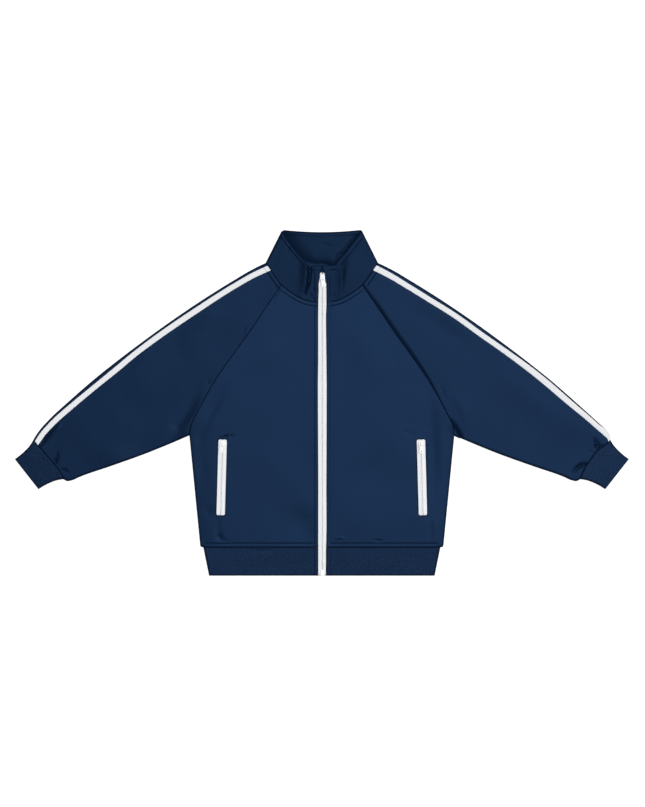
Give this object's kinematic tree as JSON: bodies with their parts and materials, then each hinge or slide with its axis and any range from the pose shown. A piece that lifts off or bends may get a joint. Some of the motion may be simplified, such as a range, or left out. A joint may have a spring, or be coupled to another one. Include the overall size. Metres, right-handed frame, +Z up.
{
  "type": "track jacket",
  "caption": "Child's zip-up knit track jacket lying flat, with a standing collar, raglan sleeves, a stripe along each sleeve, zipped side pockets and rib cuffs and waistband.",
  "frame": {"origin": "centre of the jacket's box on the table it lies on", "axes": "+X across the jacket towards the wearer's left cuff, +Y from the waistband to the collar, +Z up off the table, out of the jacket's front"},
  "size_m": [0.9822, 0.5514, 0.0112],
  "materials": {
    "knit": "smooth polyester knit, matt, dark navy",
    "rib": "double rib knit, matt, dark navy",
    "tape": "woven polyester tape, white",
    "zip_plastic": "white polyester coil",
    "zip_painted": "white paint, semi-gloss"
  },
  "bodies": {
    "jacket": {"back": "knit", "front_right": "knit", "front_left": "knit", "sleeve_right": "knit", "sleeve_left": "knit", "collar": "knit", "cuff_right": "rib", "cuff_left": "rib", "waistband": "rib", "stripe_right": "tape", "stripe_left": "tape", "front_zip_tape_right": "tape", "front_zip_tape_left": "tape", "front_zip_teeth": "zip_plastic", "front_zip_box": "zip_plastic", "front_zip_slider": "zip_painted", "right_pocket_zip_tape_right": "tape", "right_pocket_zip_tape_left": "tape", "right_pocket_zip_teeth": "zip_plastic", "right_pocket_zip_slider": "zip_painted", "left_pocket_zip_tape_right": "tape", "left_pocket_zip_tape_left": "tape", "left_pocket_zip_teeth": "zip_plastic", "left_pocket_zip_slider": "zip_painted"},
    "front_pull": {"front_zip_pull": "zip_painted"},
    "right_pocket_pull": {"right_pocket_zip_pull": "zip_painted"},
    "left_pocket_pull": {"left_pocket_zip_pull": "zip_painted"}
  },
  "joints": [
    {"name": "front_pull_swing", "type": "hinge", "parent": "jacket", "child": "front_pull", "pos_m": [0, 0.2003, 0.00775], "axis": [-0.9903, -0.1392, 0], "range_deg": [0, 150]},
    {"name": "right_pocket_pull_swing", "type": "hinge", "parent": "jacket", "child": "right_pocket_pull", "pos_m": [-0.15869, -0.0649, 0.00775], "axis": [-0.9797, 0.2004, 0], "range_deg": [0, 150]},
    {"name": "left_pocket_pull_swing", "type": "hinge", "parent": "jacket", "child": "left_pocket_pull", "pos_m": [0.15869, -0.0649, 0.00775], "axis": [-0.9996, -0.0273, 0], "range_deg": [0, 150]}
  ]
}
